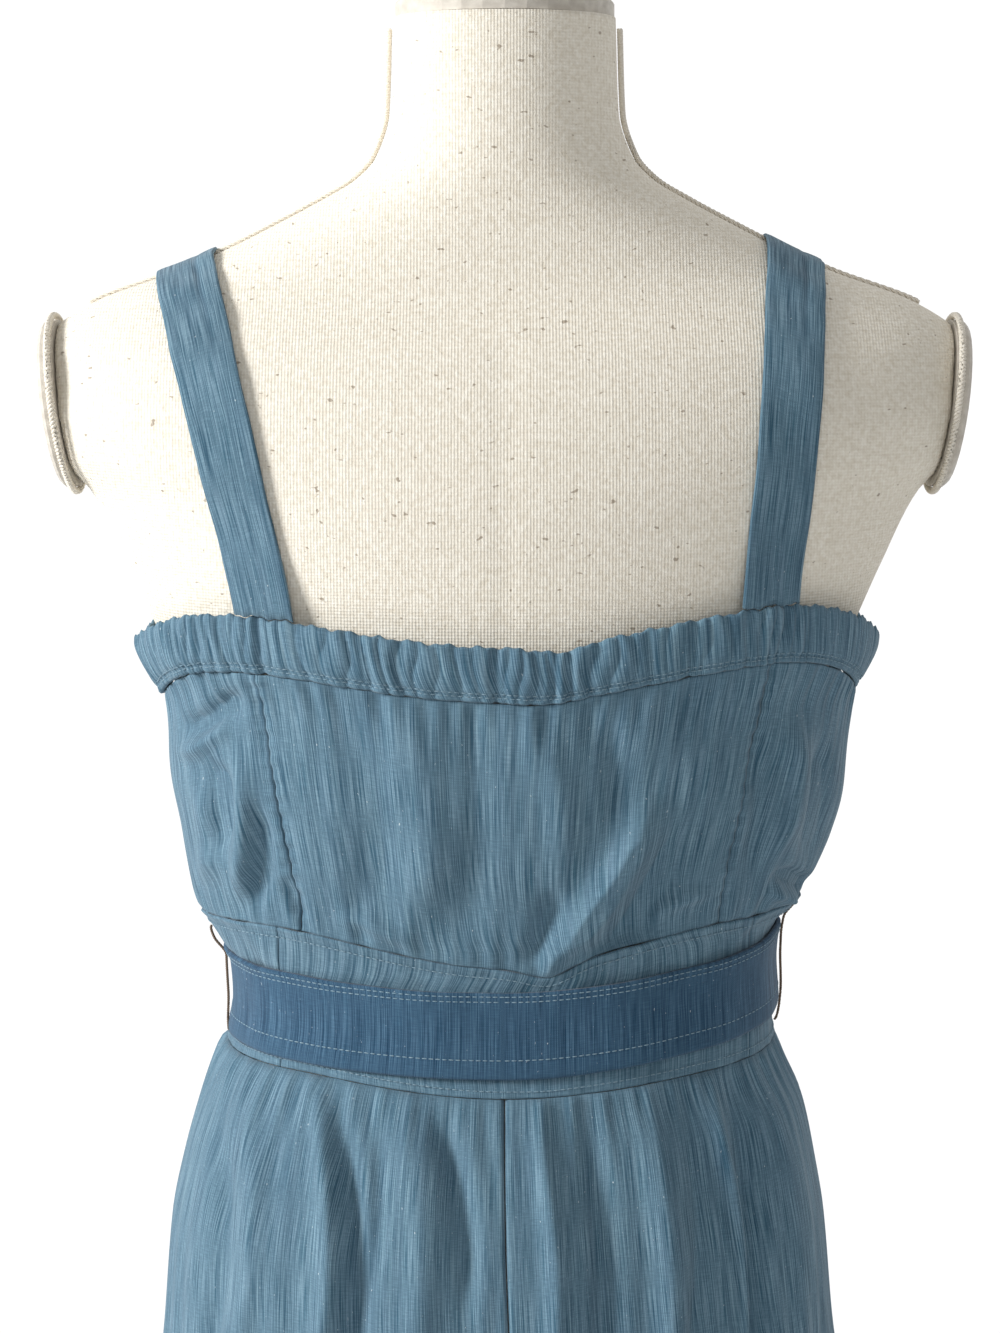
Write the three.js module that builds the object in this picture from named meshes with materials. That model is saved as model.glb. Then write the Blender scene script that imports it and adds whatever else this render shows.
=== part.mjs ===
// A sleeveless wide-leg jumpsuit with straps, a ruched top band and a self belt, worn by a
// limbless dress form on a pole stand.
//
// Millimetres, +Z up. The garment faces +Y, its back faces -Y, and +X is the wearer's right.
// The origin is the middle of the stand base's underside, on the floor.
//
// Cloth is a wall between an outer skin and an inner skin. Every outer skin is worked out from
// level sections: rounded oblongs whose sizes are read from the tables below. An angle round the
// body is 0 at the middle of the back, 90 at the wearer's right side and 180 at the front.

import * as THREE from "three";

// ---------- driving dimensions ----------

const seamGap = 0.3;
const clothThickness = 1.8;
const bandThickness = 2.4;
const beltThickness = 2.2;
const beltLift = beltThickness + 1;
const bodySquareness = 2.2;

const neckTop = 1480;
const formBottom = 850;
const crotchHeight = 752;
const hemHeight = 45;
const seatHeight = 900;
const seamDrift = 19;
const beltHeight = 37;
const strapWidth = 25;
const strapThickness = 2;
const trimThickness = 1.8;

// Plate that closes each armhole of the form: an upright oval, leaning in a little at its foot.
const armPlate = { height: 37, width: 42, thickness: 7, level: 1313, out: 192.4, setBack: -4, lean: 0.12 };

const pole = { radius: 12.5, flangeRadius: 46, flangeThickness: 5 };
const base = { radius: 170, thickness: 12, rim: 6, socketRadius: 21, socketHeight: 44 };

// Sections of the dress form. half is the half width, back and front are the depths.
const formRows = [
  { z: 850, half: 140, back: 102, front: 91 },
  { z: 856, half: 145, back: 106, front: 95 },
  { z: 880, half: 146, back: 107, front: 97 },
  { z: 915, half: 142, back: 105, front: 96 },
  { z: 960, half: 132, back: 96, front: 92 },
  { z: 1010, half: 118, back: 82, front: 84 },
  { z: 1045, half: 112, back: 76, front: 78 },
  { z: 1080, half: 114, back: 76, front: 80 },
  { z: 1120, half: 124, back: 81, front: 90 },
  { z: 1160, half: 134, back: 87, front: 102 },
  { z: 1190, half: 142, back: 91, front: 107 },
  { z: 1207, half: 152, back: 93, front: 109 },
  { z: 1243, half: 168, back: 97, front: 108 },
  { z: 1274, half: 183, back: 99, front: 95 },
  { z: 1292, half: 200, back: 97, front: 85 },
  { z: 1313, half: 210, back: 92, front: 72 },
  { z: 1335, half: 207, back: 81, front: 60 },
  { z: 1345, half: 200, back: 72, front: 54 },
  { z: 1358, half: 180, back: 60, front: 48 },
  { z: 1371, half: 144, back: 54, front: 46 },
  { z: 1382, half: 119, back: 52, front: 45 },
  { z: 1392, half: 99, back: 51, front: 45 },
  { z: 1402, half: 80, back: 51, front: 46 },
  { z: 1411, half: 65, back: 51, front: 47 },
  { z: 1421, half: 56, back: 51, front: 48 },
  { z: 1440, half: 50, back: 51, front: 48 },
  { z: 1480, half: 48.5, back: 50, front: 48 },
];

// Sections of the garment's outer skin, from the crotch to above the top band.
const garmentRows = [
  { z: 752, left: 166, right: 161, back: 121, front: 106 },
  { z: 800, left: 163, right: 159, back: 120, front: 106 },
  { z: 860, left: 159, right: 154, back: 119, front: 106 },
  { z: 900, left: 156, right: 150, back: 117, front: 105 },
  { z: 946, left: 152, right: 146, back: 111, front: 102 },
  { z: 970, left: 147, right: 142, back: 107, front: 100 },
  { z: 998, left: 139, right: 136, back: 98, front: 96 },
  { z: 1018, left: 131, right: 127, back: 91, front: 92 },
  { z: 1032, left: 123, right: 122, back: 87, front: 89 },
  { z: 1048, left: 120.5, right: 121, back: 85, front: 88 },
  { z: 1064, left: 121.5, right: 120, back: 85, front: 89 },
  { z: 1072, left: 128, right: 120.5, back: 86, front: 91 },
  { z: 1082, left: 134, right: 123, back: 88, front: 94 },
  { z: 1090, left: 138, right: 131, back: 89.5, front: 97 },
  { z: 1100, left: 141, right: 137, back: 91, front: 100 },
  { z: 1121, left: 146, right: 147, back: 95, front: 106 },
  { z: 1155, left: 150, right: 154, back: 98, front: 112 },
  { z: 1183, left: 152, right: 156, back: 98, front: 117 },
  { z: 1207, left: 163, right: 166, back: 100, front: 119 },
  { z: 1240, left: 168, right: 171, back: 102, front: 118 },
];

// Sections of each trouser leg. outer and inner are measured along X.
const legRows = {
  left: [
    { z: 45, outer: -205, inner: 16, back: 116, front: 112 },
    { z: 400, outer: -187, inner: 17, back: 119, front: 109 },
    { z: 752, outer: -166, inner: 18.85, back: 121, front: 106 },
  ],
  right: [
    { z: 45, outer: 235, inner: 26, back: 116, front: 112 },
    { z: 400, outer: 195, inner: 24, back: 119, front: 109 },
    { z: 752, outer: 161, inner: 19.15, back: 121, front: 106 },
  ],
};

// Largest folds of each leg. turn is the angle round the leg, width the fold's half width in
// degrees, height its rise at the hem, and top the level where it starts.
const legFolds = {
  left: [
    { turn: -52, width: 15, height: 15, top: 1000 },
    { turn: -20, width: 14, height: -14, top: 980 },
    { turn: 12, width: 15, height: 14, top: 940 },
    { turn: 46, width: 14, height: -10, top: 900 },
    { turn: 132, width: 15, height: -10, top: 900 },
    { turn: 168, width: 16, height: 14, top: 940 },
    { turn: 204, width: 15, height: -12, top: 960 },
    { turn: 238, width: 14, height: 12, top: 1000 },
  ],
  right: [
    { turn: -44, width: 14, height: -10, top: 900 },
    { turn: -10, width: 15, height: 14, top: 950 },
    { turn: 22, width: 13, height: -14, top: 980 },
    { turn: 52, width: 14, height: 15, top: 1000 },
    { turn: 124, width: 14, height: 12, top: 1000 },
    { turn: 158, width: 15, height: -12, top: 960 },
    { turn: 194, width: 16, height: 14, top: 940 },
    { turn: 228, width: 14, height: -10, top: 900 },
  ],
};

// Levels of the rows of a trouser panel below its top edge, closer together round the crotch.
const trouserLevels = [45, 180, 330, 480, 620, 710, 752, 757, 768, 785, 812, 850, 900, 945, 985];

// Places of the two seams that divide the back bodice, measured along X.
const princessRows = [
  { z: 1075, left: -86, right: 91 },
  { z: 1107, left: -90, right: 94 },
  { z: 1141, left: -96, right: 101 },
  { z: 1204, left: -106, right: 113 },
];

// Edges of the top band, round the body.
const bandRows = [
  { turn: -180, low: 1205, high: 1231 },
  { turn: -140, low: 1208, high: 1234 },
  { turn: -90, low: 1183, high: 1208 },
  { turn: -43, low: 1202, high: 1227 },
  { turn: 0, low: 1192, high: 1216 },
  { turn: 43, low: 1206, high: 1231 },
  { turn: 90, low: 1185, high: 1210 },
  { turn: 140, low: 1208, high: 1234 },
  { turn: 180, low: 1205, high: 1231 },
];

// Edges of the waistband and the middle of the belt, round the body.
const waistRows = [
  { turn: -180, low: 1024, high: 1084, belt: 1049 },
  { turn: -90, low: 1026, high: 1086, belt: 1050 },
  { turn: -45, low: 1026, high: 1090, belt: 1049 },
  { turn: 0, low: 1020, high: 1076, belt: 1047 },
  { turn: 45, low: 1026, high: 1092, belt: 1055 },
  { turn: 90, low: 1028, high: 1094, belt: 1061 },
  { turn: 180, low: 1024, high: 1084, belt: 1049 },
];

const waistbandJoins = { left: -98, right: 108 };
const bandJoin = 128;

const colours = {
  denim: 0x8fa9bd,
  beltDenim: 0x6f92ab,
  canvas: 0xd9d0bf,
  braid: 0xe3dccb,
  plate: 0xb5aa98,
  thread: 0x8a6f55,
  metal: 0x9c9c98,
};

// ---------- tables and sections ----------

function between(from, to, share) {
  return from + (to - from) * share;
}

// One column of a table at a given place, on a smooth curve that never passes its own rows.
function readTable(rows, key, column, place) {
  const last = rows.length - 1;
  if (place <= rows[0][key]) return rows[0][column];
  if (place >= rows[last][key]) return rows[last][column];
  let row = 0;
  while (rows[row + 1][key] < place) row += 1;
  const slopeOf = (i) => (rows[i + 1][column] - rows[i][column]) / (rows[i + 1][key] - rows[i][key]);
  const tangentAt = (i) => {
    if (i === 0) return slopeOf(0);
    if (i === last) return slopeOf(last - 1);
    const before = slopeOf(i - 1);
    const after = slopeOf(i);
    return before * after <= 0 ? 0 : (2 * before * after) / (before + after);
  };
  const span = rows[row + 1][key] - rows[row][key];
  const t = (place - rows[row][key]) / span;
  const rise = t * t * (3 - 2 * t);
  return rows[row][column] * (1 - rise) + rows[row + 1][column] * rise
    + span * (t * (1 - t) ** 2 * tangentAt(row) - t * t * (1 - t) * tangentAt(row + 1));
}

// One size of the dress form at a level, on straight lines between its sections.
function formSize(column, z) {
  const last = formRows.length - 1;
  let row = 0;
  while (row < last - 1 && formRows[row + 1].z < z) row += 1;
  const share = THREE.MathUtils.clamp((z - formRows[row].z) / (formRows[row + 1].z - formRows[row].z), 0, 1);
  return between(formRows[row][column], formRows[row + 1][column], share);
}

// The unit rounded oblong |x|^n + |y|^n = 1, at an angle in degrees from the back.
function unitOblong(turn) {
  const angle = THREE.MathUtils.degToRad(turn);
  const side = Math.sin(angle);
  const back = Math.cos(angle);
  const reach = (Math.abs(side) ** bodySquareness + Math.abs(back) ** bodySquareness) ** (1 / bodySquareness);
  return { x: side / reach, y: -back / reach };
}

// The angle at which a rounded oblong of the given half width passes a place along X.
function turnAt(x, half) {
  const share = Math.min(Math.abs(x) / half, 1) ** bodySquareness;
  const angle = Math.atan((share / (1 - share)) ** (1 / bodySquareness));
  return Math.sign(x) * THREE.MathUtils.radToDeg(angle);
}

// How deep a rounded oblong still is at a place along X, as a share of its full depth.
function depthShare(x, half) {
  const share = Math.min(Math.abs(x) / half, 1) ** bodySquareness;
  return (1 - share) ** (1 / bodySquareness);
}

function armPlaneAt(z) {
  return armPlate.out + armPlate.lean * (z - armPlate.level);
}

function formPoint(turn, z) {
  const unit = unitOblong(turn);
  const x = unit.x * formSize("half", z);
  const limit = armPlaneAt(z);
  const y = unit.y * formSize(unit.y < 0 ? "back" : "front", z);
  return new THREE.Vector3(THREE.MathUtils.clamp(x, -limit, limit), y, z);
}

// Depth along Y of the form's back (side -1) or front (side 1) at a place along X and a level.
function formDepth(x, z, side) {
  return side * formSize(side < 0 ? "back" : "front", z) * depthShare(x, formSize("half", z));
}

// The seam between the legs leans to the wearer's right below the seat, clear of the pole.
function driftAt(z) {
  const share = THREE.MathUtils.clamp((1000 - z) / (1000 - crotchHeight), 0, 1);
  return seamDrift * share * share;
}

function garmentPoint(turn, z, lift = 0) {
  const unit = unitOblong(turn);
  const row = (column) => readTable(garmentRows, "z", column, z);
  const x = unit.x * ((unit.x < 0 ? row("left") : row("right")) + lift);
  const y = unit.y * ((unit.y < 0 ? row("back") : row("front")) + lift);
  return new THREE.Vector3(x + driftAt(z) * unit.y * unit.y, y, z);
}

function legPoint(side, turn, z) {
  const unit = unitOblong(turn);
  const row = (column) => readTable(legRows[side], "z", column, z);
  const middle = (row("outer") + row("inner")) / 2;
  const half = Math.abs(row("outer") - row("inner")) / 2;
  return new THREE.Vector3(middle + unit.x * half, unit.y * (unit.y < 0 ? row("back") : row("front")), z);
}

// Rise of a leg's folds: a sum of soft ridges and troughs that grow towards the hem.
function foldRise(side, turn, z) {
  let rise = 0;
  for (const fold of legFolds[side]) {
    const grown = THREE.MathUtils.smoothstep(fold.top - z, 0, fold.top - hemHeight);
    const away = (turn - fold.turn) / fold.width;
    rise += fold.height * grown * Math.exp(-away * away);
  }
  return rise;
}

// ---------- closed solids from grids ----------

// Joins the outer and inner grids of a wall into one closed body. A wrapped wall is a full ring.
function wallSolid(outer, inner, across, along, wrapped) {
  const stride = across + 1;
  const count = stride * (along + 1);
  const columns = wrapped ? across : stride;
  const at = (skin, i, j) => skin * count + j * stride + (wrapped ? i % across : i);
  const faces = [];
  const quad = (a, b, c, d) => faces.push(a, b, c, a, c, d);
  for (let j = 0; j < along; j += 1) {
    for (let i = 0; i < across; i += 1) {
      quad(at(0, i, j), at(0, i + 1, j), at(0, i + 1, j + 1), at(0, i, j + 1));
      quad(at(1, i, j), at(1, i, j + 1), at(1, i + 1, j + 1), at(1, i + 1, j));
    }
  }
  for (let i = 0; i < across; i += 1) {
    quad(at(0, i + 1, 0), at(0, i, 0), at(1, i, 0), at(1, i + 1, 0));
    quad(at(0, i, along), at(0, i + 1, along), at(1, i + 1, along), at(1, i, along));
  }
  for (let j = 0; j < along && columns > across; j += 1) {
    quad(at(0, 0, j), at(0, 0, j + 1), at(1, 0, j + 1), at(1, 0, j));
    quad(at(0, across, j + 1), at(0, across, j), at(1, across, j), at(1, across, j + 1));
  }
  return meshGeometry([...outer, ...inner], faces);
}

function meshGeometry(points, faces) {
  const geometry = new THREE.BufferGeometry();
  geometry.setAttribute("position", new THREE.Float32BufferAttribute(points.flatMap((p) => p.toArray()), 3));
  geometry.setIndex(faces);
  const plain = geometry.toNonIndexed();
  plain.computeVertexNormals();
  return plain;
}

// A cloth wall. point(u, v) gives its outer skin, u running counterclockwise seen from above and
// v upwards, so that the cross product of the two directions points out of the cloth. Where
// flatness(v) is 1 the thickness is measured level, which keeps an edge at its own height.
function clothWall(point, across, along, thickness, { wrapped = false, rows = null, flatness = null } = {}) {
  const outer = [];
  const inner = [];
  const step = 1e-3;
  for (let j = 0; j <= along; j += 1) {
    for (let i = 0; i <= across; i += 1) {
      const u = i / across;
      const v = rows ? rows[j] : j / along;
      const [u0, u1] = wrapped ? [u - step, u + step] : [Math.max(u - step, 0), Math.min(u + step, 1)];
      const alongU = point(u1, v).sub(point(u0, v));
      const alongV = point(u, Math.min(v + step, 1)).sub(point(u, Math.max(v - step, 0)));
      const normal = alongU.cross(alongV).normalize();
      if (flatness) normal.setZ(normal.z * (1 - flatness(v))).normalize();
      const here = point(u, v);
      outer.push(here);
      inner.push(here.clone().addScaledVector(normal, -thickness));
    }
  }
  return wallSolid(outer, inner, across, along, wrapped);
}

// A closed body through level rings, with a flat cap at each end.
function ringBody(ringPoint, levels, segments) {
  const points = [];
  const faces = [];
  for (const z of levels) {
    for (let i = 0; i < segments; i += 1) points.push(ringPoint((360 * i) / segments, z));
  }
  const last = levels.length - 1;
  for (let j = 0; j < last; j += 1) {
    for (let i = 0; i < segments; i += 1) {
      const a = j * segments + i;
      const b = j * segments + ((i + 1) % segments);
      faces.push(a, b, b + segments, a, b + segments, a + segments);
    }
  }
  const middle = (j) => new THREE.Vector3(0, 0, levels[j]);
  points.push(middle(0), middle(last));
  for (let i = 0; i < segments; i += 1) {
    const next = (i + 1) % segments;
    faces.push(points.length - 2, next, i);
    faces.push(points.length - 1, last * segments + i, last * segments + next);
  }
  return meshGeometry(points, faces);
}

// A tube of a flat or round section along a curve, with closed ends.
function sweptTube(points, halfWidth, halfHeight, steps, sides = 8) {
  const shape = new THREE.Shape();
  shape.absellipse(0, 0, halfHeight, halfWidth, 0, Math.PI * 2);
  const outline = new THREE.Shape(shape.getSpacedPoints(sides).slice(0, sides));
  const path = new THREE.CatmullRomCurve3(points);
  return new THREE.ExtrudeGeometry(outline, { steps, extrudePath: path, bevelEnabled: false });
}

// ---------- garment ----------

// A panel of the bodice or of a band, between two angles and two level edges.
function bodyPanel({ from, to, low, high, across, along, thickness, lift = 0 }) {
  const margin = 0.12;
  const point = (u, v) => {
    let turn = between(from(1140), to(1140), u);
    let z = 0;
    for (let pass = 0; pass < 6; pass += 1) {
      z = between(low(turn) + seamGap / 2, high(turn) - seamGap / 2, v);
      turn = between(from(z) + margin, to(z) - margin, u);
    }
    return garmentPoint(turn, z, lift);
  };
  return clothWall(point, across, along, thickness, { flatness: () => 1 });
}

const bandLow = (turn) => readTable(bandRows, "turn", "low", turn);
const bandHigh = (turn) => readTable(bandRows, "turn", "high", turn);
const waistLow = (turn) => readTable(waistRows, "turn", "low", turn);
const waistHigh = (turn) => readTable(waistRows, "turn", "high", turn);
const beltMiddle = (turn) => readTable(waistRows, "turn", "belt", turn);
const wrapTurn = (turn) => (turn > 180 ? turn - 360 : turn);

function princessTurn(side) {
  return (z) => turnAt(readTable(princessRows, "z", side, z), readTable(garmentRows, "z", side, z));
}

function fixedTurn(turn) {
  return () => turn;
}

function joinTurn(x, side) {
  return (z) => turnAt(x, readTable(garmentRows, "z", side, z));
}

function bodicePanel(from, to, across, along) {
  const low = (turn) => waistHigh(wrapTurn(turn));
  const high = (turn) => bandLow(wrapTurn(turn));
  return bodyPanel({ from, to, low, high, across, along, thickness: clothThickness });
}

function topBand(from, to, across) {
  const low = (turn) => bandLow(wrapTurn(turn));
  const high = (turn) => bandHigh(wrapTurn(turn));
  return bodyPanel({ from, to, low, high, across, along: 2, thickness: bandThickness });
}

function waistbandPiece(from, to, across) {
  const low = (turn) => waistLow(wrapTurn(turn));
  const high = (turn) => waistHigh(wrapTurn(turn));
  return bodyPanel({ from, to, low, high, across, along: 6, thickness: clothThickness });
}

// A quarter of the trousers. Above the seat it follows the body; from there down to the crotch it
// turns into a leg. Its middle edge sweeps down and inward in a quarter oval, and its outer part
// changes evenly.
function trouserPanel(side, bodyFrom, legFrom, across) {
  const levels = trouserLevels;
  const rows = levels.map((_, j) => j / levels.length).concat(1);
  const edge = 0.0012;
  const point = (u, v) => {
    const place = between(edge, 1 - edge, u);
    const bodyTurn = bodyFrom + 90 * place;
    const legTurn = legFrom + 180 * place;
    const topEdge = waistLow(wrapTurn(bodyTurn)) - seamGap / 2;
    const row = v * levels.length;
    const below = Math.min(Math.floor(row), levels.length - 1);
    const levelAt = (j) => (j < levels.length ? levels[j] : topEdge);
    const z = between(levelAt(below), levelAt(below + 1), row - below);
    const share = THREE.MathUtils.clamp((seatHeight - z) / (seatHeight - crotchHeight), 0, 1);
    const inner = Math.abs(Math.cos(THREE.MathUtils.degToRad(bodyTurn))) ** 6;
    const turned = between(share * share * (3 - 2 * share), 1 - Math.sqrt(1 - share * share), inner);
    const unit = unitOblong(turned > 0.5 ? legTurn : bodyTurn);
    const rise = foldRise(side, legTurn, z);
    return garmentPoint(bodyTurn, z)
      .lerp(legPoint(side, legTurn, z), turned)
      .add(new THREE.Vector3(unit.x * rise * 0.7, unit.y * rise, 0));
  };
  const flatness = (v) => THREE.MathUtils.smoothstep(v, 0.8, 0.95);
  return clothWall(point, across, levels.length, clothThickness, { rows, flatness });
}

// A strap lies just off the form, from the band's top edge at the back, over the shoulder, to the
// band's top edge at the front. Its places along X are given at each end and at the shoulder.
function strapSolid({ backEnd, shoulder, frontEnd, across, along }) {
  const clearance = trimThickness + 2 * seamGap + 0.3;
  const shoulderLevel = (x) => {
    let low = 1345;
    let high = 1421;
    for (let step = 0; step < 30; step += 1) {
      const middle = (low + high) / 2;
      if (formSize("half", middle) > Math.abs(x)) low = middle;
      else high = middle;
    }
    return low;
  };
  const bottomOf = (x, side) => {
    const half = readTable(garmentRows, "z", x < 0 ? "left" : "right", 1225);
    const turn = turnAt(x, half);
    return bandHigh(side < 0 ? turn : Math.sign(x) * 180 - turn) + seamGap;
  };
  const nearBand = (v) => THREE.MathUtils.smoothstep((2 * v - 1) ** 2, 0.62, 1);
  const point = (u, v) => {
    const side = v < 0.5 ? -1 : 1;
    const climb = 1 - Math.abs(2 * v - 1);
    const end = side < 0 ? backEnd : frontEnd;
    const x = between(end, shoulder, Math.sin(climb * Math.PI * 0.5)) + (u - 0.5) * strapWidth;
    const top = shoulderLevel(x);
    const drop = (1 - climb) ** 2;
    const z = between(top, bottomOf(x, side), drop);
    const out = side * Math.max(Math.abs(formDepth(x, z, side)), 0);
    const bandOut = side * readTable(garmentRows, "z", side < 0 ? "back" : "front", z)
      * depthShare(x, readTable(garmentRows, "z", x < 0 ? "left" : "right", z));
    return new THREE.Vector3(x, between(out, bandOut, nearBand(v)), z);
  };
  const lifted = (u, v) => {
    const step = 1e-3;
    const alongU = point(1, v).sub(point(0, v));
    const alongV = point(u, Math.min(v + step, 1)).sub(point(u, Math.max(v - step, 0)));
    const normal = alongU.cross(alongV).normalize();
    return point(u, v).addScaledVector(normal, (clearance + strapThickness) * (1 - nearBand(v)));
  };
  return clothWall(lifted, across, along, strapThickness, { flatness: nearBand });
}

function beltRing() {
  const point = (u, v) => {
    const turn = wrapTurn(360 * u);
    return garmentPoint(turn, beltMiddle(turn) + (v - 0.5) * beltHeight, beltLift);
  };
  return clothWall(point, 48, 4, beltThickness, { wrapped: true, flatness: () => 1 });
}

const knot = { halfWidth: 17, halfDepth: 9, halfHeight: 15 };

function knotMiddle() {
  const front = garmentPoint(180, beltMiddle(180), beltLift).y;
  return new THREE.Vector3(0, front + seamGap + knot.halfDepth, beltMiddle(180));
}

function beltKnot() {
  const middle = knotMiddle();
  return new THREE.SphereGeometry(1, 16, 10)
    .scale(knot.halfWidth, knot.halfDepth, knot.halfHeight)
    .translate(middle.x, middle.y, middle.z);
}

// A tail of the belt hangs from under the knot, narrow where it leaves the knot.
function beltTail(side, length) {
  const middle = knotMiddle();
  const top = middle.z - knot.halfHeight - seamGap - 0.1;
  const point = (u, v) => {
    const down = 1 - v;
    const opened = THREE.MathUtils.smoothstep(down, 0, 0.3);
    const width = between(13, beltHeight, opened);
    const x = side * (8 + 13 * opened + 10 * down) - (u - 0.5) * width;
    const z = top - length * down;
    const trouser = garmentPoint(180, z).y;
    const away = THREE.MathUtils.smoothstep(down, 0, 0.15);
    return new THREE.Vector3(x, between(middle.y, Math.max(trouser, 92) + 11, away), z);
  };
  return clothWall(point, 4, 8, beltThickness);
}

// A thread loop runs outside the belt at the side, from the waistband's top to below the belt.
function threadLoop(side, top, bottom) {
  const turn = side * 84;
  const reach = beltThickness + 3.2;
  const middle = between(bottom, top, 0.5);
  const place = (z, lift) => garmentPoint(turn, z, lift);
  const radius = 0.6;
  const foot = radius + seamGap;
  const points = [
    place(bottom, foot),
    place(bottom + 4, reach),
    place(middle, reach + 1.6),
    place(top - 4, reach),
    place(top, foot),
  ];
  return sweptTube(points, radius, radius, 14);
}

// ---------- dress form and stand ----------

function formBody() {
  const levels = formRows.map((row) => row.z);
  return ringBody((turn, z) => formPoint(turn, z), levels, 40);
}

function neckCap() {
  const half = formSize("half", neckTop);
  const depth = formSize("back", neckTop);
  const profile = [[0, 0], [1, 0], [1, 6], [0.94, 9], [0, 9]].map(([r, z]) => new THREE.Vector2(r, z));
  return new THREE.LatheGeometry(profile, 32)
    .rotateX(Math.PI / 2)
    .scale(half - 0.5, depth - 0.5, 1)
    .translate(0, 0, neckTop + seamGap);
}

// Local axes of an armhole: out of the form, and up along the leaning plate.
function armFrame(side) {
  const lean = Math.atan(armPlate.lean);
  const out = new THREE.Vector3(side * Math.cos(lean), 0, -Math.sin(lean));
  const up = new THREE.Vector3(side * Math.sin(lean), 0, Math.cos(lean));
  const middle = new THREE.Vector3(side * armPlate.out, armPlate.setBack, armPlate.level);
  return { out, up, middle };
}

function armRimPoint(side, turn, outset, distance) {
  const { out, up, middle } = armFrame(side);
  const angle = THREE.MathUtils.degToRad(turn);
  return middle.clone()
    .addScaledVector(up, Math.cos(angle) * (armPlate.height + distance))
    .add(new THREE.Vector3(0, side * Math.sin(angle) * (armPlate.width + distance), 0))
    .addScaledVector(out, outset);
}

function armPlateSolid(side) {
  const segments = 32;
  const layers = [
    { outset: seamGap, inset: 0 },
    { outset: armPlate.thickness - 1.5, inset: 0 },
    { outset: armPlate.thickness, inset: 1.5 },
  ];
  const points = [];
  const faces = [];
  for (const layer of layers) {
    for (let i = 0; i < segments; i += 1) {
      points.push(armRimPoint(side, (-360 * i) / segments, layer.outset, -layer.inset));
    }
  }
  const { out, middle } = armFrame(side);
  points.push(middle.clone().addScaledVector(out, layers[0].outset));
  points.push(middle.clone().addScaledVector(out, armPlate.thickness));
  const inner = points.length - 2;
  for (let i = 0; i < segments; i += 1) {
    const next = (i + 1) % segments;
    for (let j = 0; j < layers.length - 1; j += 1) {
      const a = j * segments + i;
      const b = j * segments + next;
      faces.push(a, b, a + segments, b, b + segments, a + segments);
    }
    faces.push(inner, next, i);
    faces.push(inner + 1, 2 * segments + i, 2 * segments + next);
  }
  return meshGeometry(points, faces);
}

// Braid round the armhole plate, against the form.
function armTrim(side) {
  const radius = 1.7;
  const segments = 40;
  const sides = 6;
  const points = [];
  const faces = [];
  for (let i = 0; i < segments; i += 1) {
    for (let j = 0; j < sides; j += 1) {
      const angle = (2 * Math.PI * j) / sides;
      const distance = seamGap + radius + radius * Math.cos(angle);
      points.push(armRimPoint(side, (-360 * i) / segments, seamGap + radius + radius * Math.sin(angle), distance));
    }
  }
  for (let i = 0; i < segments; i += 1) {
    for (let j = 0; j < sides; j += 1) {
      const a = i * sides + j;
      const b = i * sides + ((j + 1) % sides);
      const c = ((i + 1) % segments) * sides + ((j + 1) % sides);
      const d = ((i + 1) % segments) * sides + j;
      faces.push(a, d, c, a, c, b);
    }
  }
  return meshGeometry(points, faces);
}

// Braid along the top of the shoulder, from the neck to the armhole, just off the form.
function shoulderTrim(side) {
  const levels = [1476, 1440, 1431, 1421, 1411, 1402, 1392, 1382, 1371, 1360];
  const radius = trimThickness / 2;
  const ridge = levels.map((z) => new THREE.Vector2(formSize("half", z), z));
  const points = ridge.map((here, i) => {
    const before = ridge[Math.max(i - 1, 0)];
    const after = ridge[Math.min(i + 1, ridge.length - 1)];
    const along = after.clone().sub(before).normalize();
    const out = new THREE.Vector2(-along.y, along.x).multiplyScalar(2 * seamGap + radius);
    return new THREE.Vector3(side * (here.x + out.x), 0, here.y + out.y);
  });
  return sweptTube(points, radius, radius, 24, 6);
}

function latheSolid(profile, segments) {
  const points = profile.map(([r, z]) => new THREE.Vector2(r, z));
  return new THREE.LatheGeometry(points, segments).rotateX(Math.PI / 2);
}

function standPole() {
  const top = formBottom - seamGap;
  const foot = base.thickness + 2 + seamGap;
  return latheSolid([
    [0, foot],
    [pole.radius, foot],
    [pole.radius, top - pole.flangeThickness],
    [pole.flangeRadius, top - pole.flangeThickness],
    [pole.flangeRadius, top],
    [0, top],
  ], 32);
}

function standBase() {
  const bore = pole.radius + seamGap;
  return latheSolid([
    [0, 0],
    [base.radius, 0],
    [base.radius, base.rim],
    [base.radius - 8, base.thickness],
    [base.socketRadius + 6, base.thickness + 2],
    [base.socketRadius, base.thickness + 6],
    [base.socketRadius - 2, base.socketHeight],
    [bore, base.socketHeight],
    [bore, base.thickness + 2],
    [0, base.thickness + 2],
  ], 48);
}

// ---------- assembly ----------

const part = new THREE.Group();
part.name = "jumpsuit_on_dress_form";

function add(name, geometry, colour, roughness = 0.9, metalness = 0) {
  const mesh = new THREE.Mesh(geometry, new THREE.MeshStandardMaterial({ color: colour, roughness, metalness }));
  mesh.name = name;
  part.add(mesh);
}

function addStand() {
  add("form_body", formBody(), colours.canvas);
  add("neck_cap", neckCap(), colours.plate, 0.6);
  add("stand_pole", standPole(), colours.metal, 0.35, 0.9);
  add("stand_base", standBase(), colours.metal, 0.45, 0.8);
  for (const [name, side] of [["l", -1], ["r", 1]]) {
    add(`arm_plate_${name}`, armPlateSolid(side), colours.plate, 0.6);
    add(`arm_trim_${name}`, armTrim(side), colours.braid);
    add(`shoulder_trim_${name}`, shoulderTrim(side), colours.braid);
  }
}

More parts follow.
